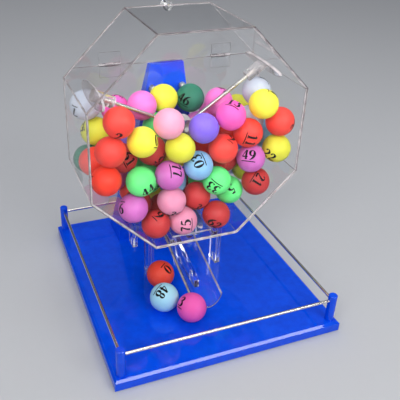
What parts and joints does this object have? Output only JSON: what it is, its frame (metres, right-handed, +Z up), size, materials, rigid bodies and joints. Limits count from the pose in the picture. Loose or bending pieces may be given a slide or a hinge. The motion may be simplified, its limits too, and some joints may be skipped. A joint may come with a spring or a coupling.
{
  "type": "raffle drum with crank",
  "caption": "Tabletop raffle drum: a clear octagonal drum of numbered balls, stirred by three paddles on a rear crank, with a gate and chute to a railed blue tray.",
  "frame": {"origin": "middle of the base's footprint, on the surface the machine stands on", "axes": "+Z up, +Y to the back where the crank is, +X to the viewer's right from the front"},
  "size_m": [0.32, 0.36, 0.3985],
  "materials": {
    "blue_acrylic": "polished royal blue acrylic",
    "clear_acrylic": "clear polished acrylic sheet",
    "stainless": "bright stainless steel",
    "rubber": "moulded",
    "brass": "turned",
    "grip_black": "turned, satin",
    "ball_red": "matt",
    "ball_yellow": "matt",
    "ball_pink": "matt",
    "ball_light_pink": "matt",
    "ball_violet": "matt",
    "ball_green": "matt",
    "ball_dark_green": "matt",
    "ball_light_blue": "matt",
    "ball_tray": "matt, one colour a ball"
  },
  "bodies": {
    "machine": {"base_board": "blue_acrylic", "corner_posts": "blue_acrylic", "tower_front_plate": "blue_acrylic", "tower_rear_plate": "blue_acrylic", "tower_left_plate": "blue_acrylic", "tower_right_plate": "blue_acrylic", "tower_top_plate": "blue_acrylic", "leg_front_left": "clear_acrylic", "leg_front_right": "clear_acrylic", "leg_rear_left": "clear_acrylic", "leg_rear_right": "clear_acrylic", "drum_front_panel": "clear_acrylic", "drum_back_panel": "clear_acrylic", "drum_wall_upper_right": "clear_acrylic", "drum_wall_top": "clear_acrylic", "drum_wall_upper_left": "clear_acrylic", "drum_wall_left": "clear_acrylic", "drum_wall_lower_left": "clear_acrylic", "drum_wall_floor": "clear_acrylic", "drum_wall_lower_right": "clear_acrylic", "drum_wall_right": "clear_acrylic", "chute_trough": "clear_acrylic", "chute_rib": "clear_acrylic", "gate_runners": "clear_acrylic", "hinge_fixed_leaves": "clear_acrylic", "base_screws": "stainless", "rails_front_and_rear": "stainless", "rails_left_and_right": "stainless", "tower_bolts": "stainless", "cap_nuts": "stainless", "tower_spacers": "stainless", "rubber_feet": "rubber", "front_bearing": "brass", "rear_bearing": "brass", "tray_balls": "ball_tray", "balls_red": "ball_red", "balls_yellow": "ball_yellow", "balls_pink": "ball_pink", "balls_light_pink": "ball_light_pink", "balls_violet": "ball_violet", "balls_green": "ball_green", "balls_dark_green": "ball_dark_green", "balls_light_blue": "ball_light_blue"},
    "door": {"door_panel": "clear_acrylic", "door_knob": "clear_acrylic", "door_knob_screw": "stainless", "hinge_moving_leaves": "clear_acrylic", "hinge_pins": "stainless"},
    "stirrer": {"stirrer_shaft": "stainless", "stirrer_hub": "clear_acrylic", "stirrer_rods": "stainless", "rod_sleeves": "clear_acrylic", "paddles": "clear_acrylic", "set_screws": "stainless", "shaft_collar": "stainless", "crank_arm": "stainless", "grip_pin": "stainless"},
    "grip": {"crank_grip": "grip_black"},
    "gate": {"gate_plate": "clear_acrylic", "gate_pull": "clear_acrylic"}
  },
  "joints": [
    {"name": "crank_turn", "type": "hinge", "parent": "machine", "child": "stirrer", "pos_m": [0, 0.02, 0.246], "axis": [0, 1, 0], "continuous": true, "deforming": ["balls_red", "balls_yellow", "balls_pink", "balls_light_pink", "balls_violet", "balls_green", "balls_dark_green", "balls_light_blue"]},
    {"name": "grip_spin", "type": "hinge", "parent": "stirrer", "child": "grip", "pos_m": [0, 0.155, 0.201], "axis": [0, 1, 0], "continuous": true},
    {"name": "door_hinge", "type": "hinge", "parent": "machine", "child": "door", "pos_m": [0, 0.0928, 0.3175], "axis": [-1, 0, 0], "range_deg": [0, 80]},
    {"name": "gate_slide", "type": "slide", "parent": "machine", "child": "gate", "axis": [0, -1, 0], "range_m": [0, 0.048]}
  ]
}
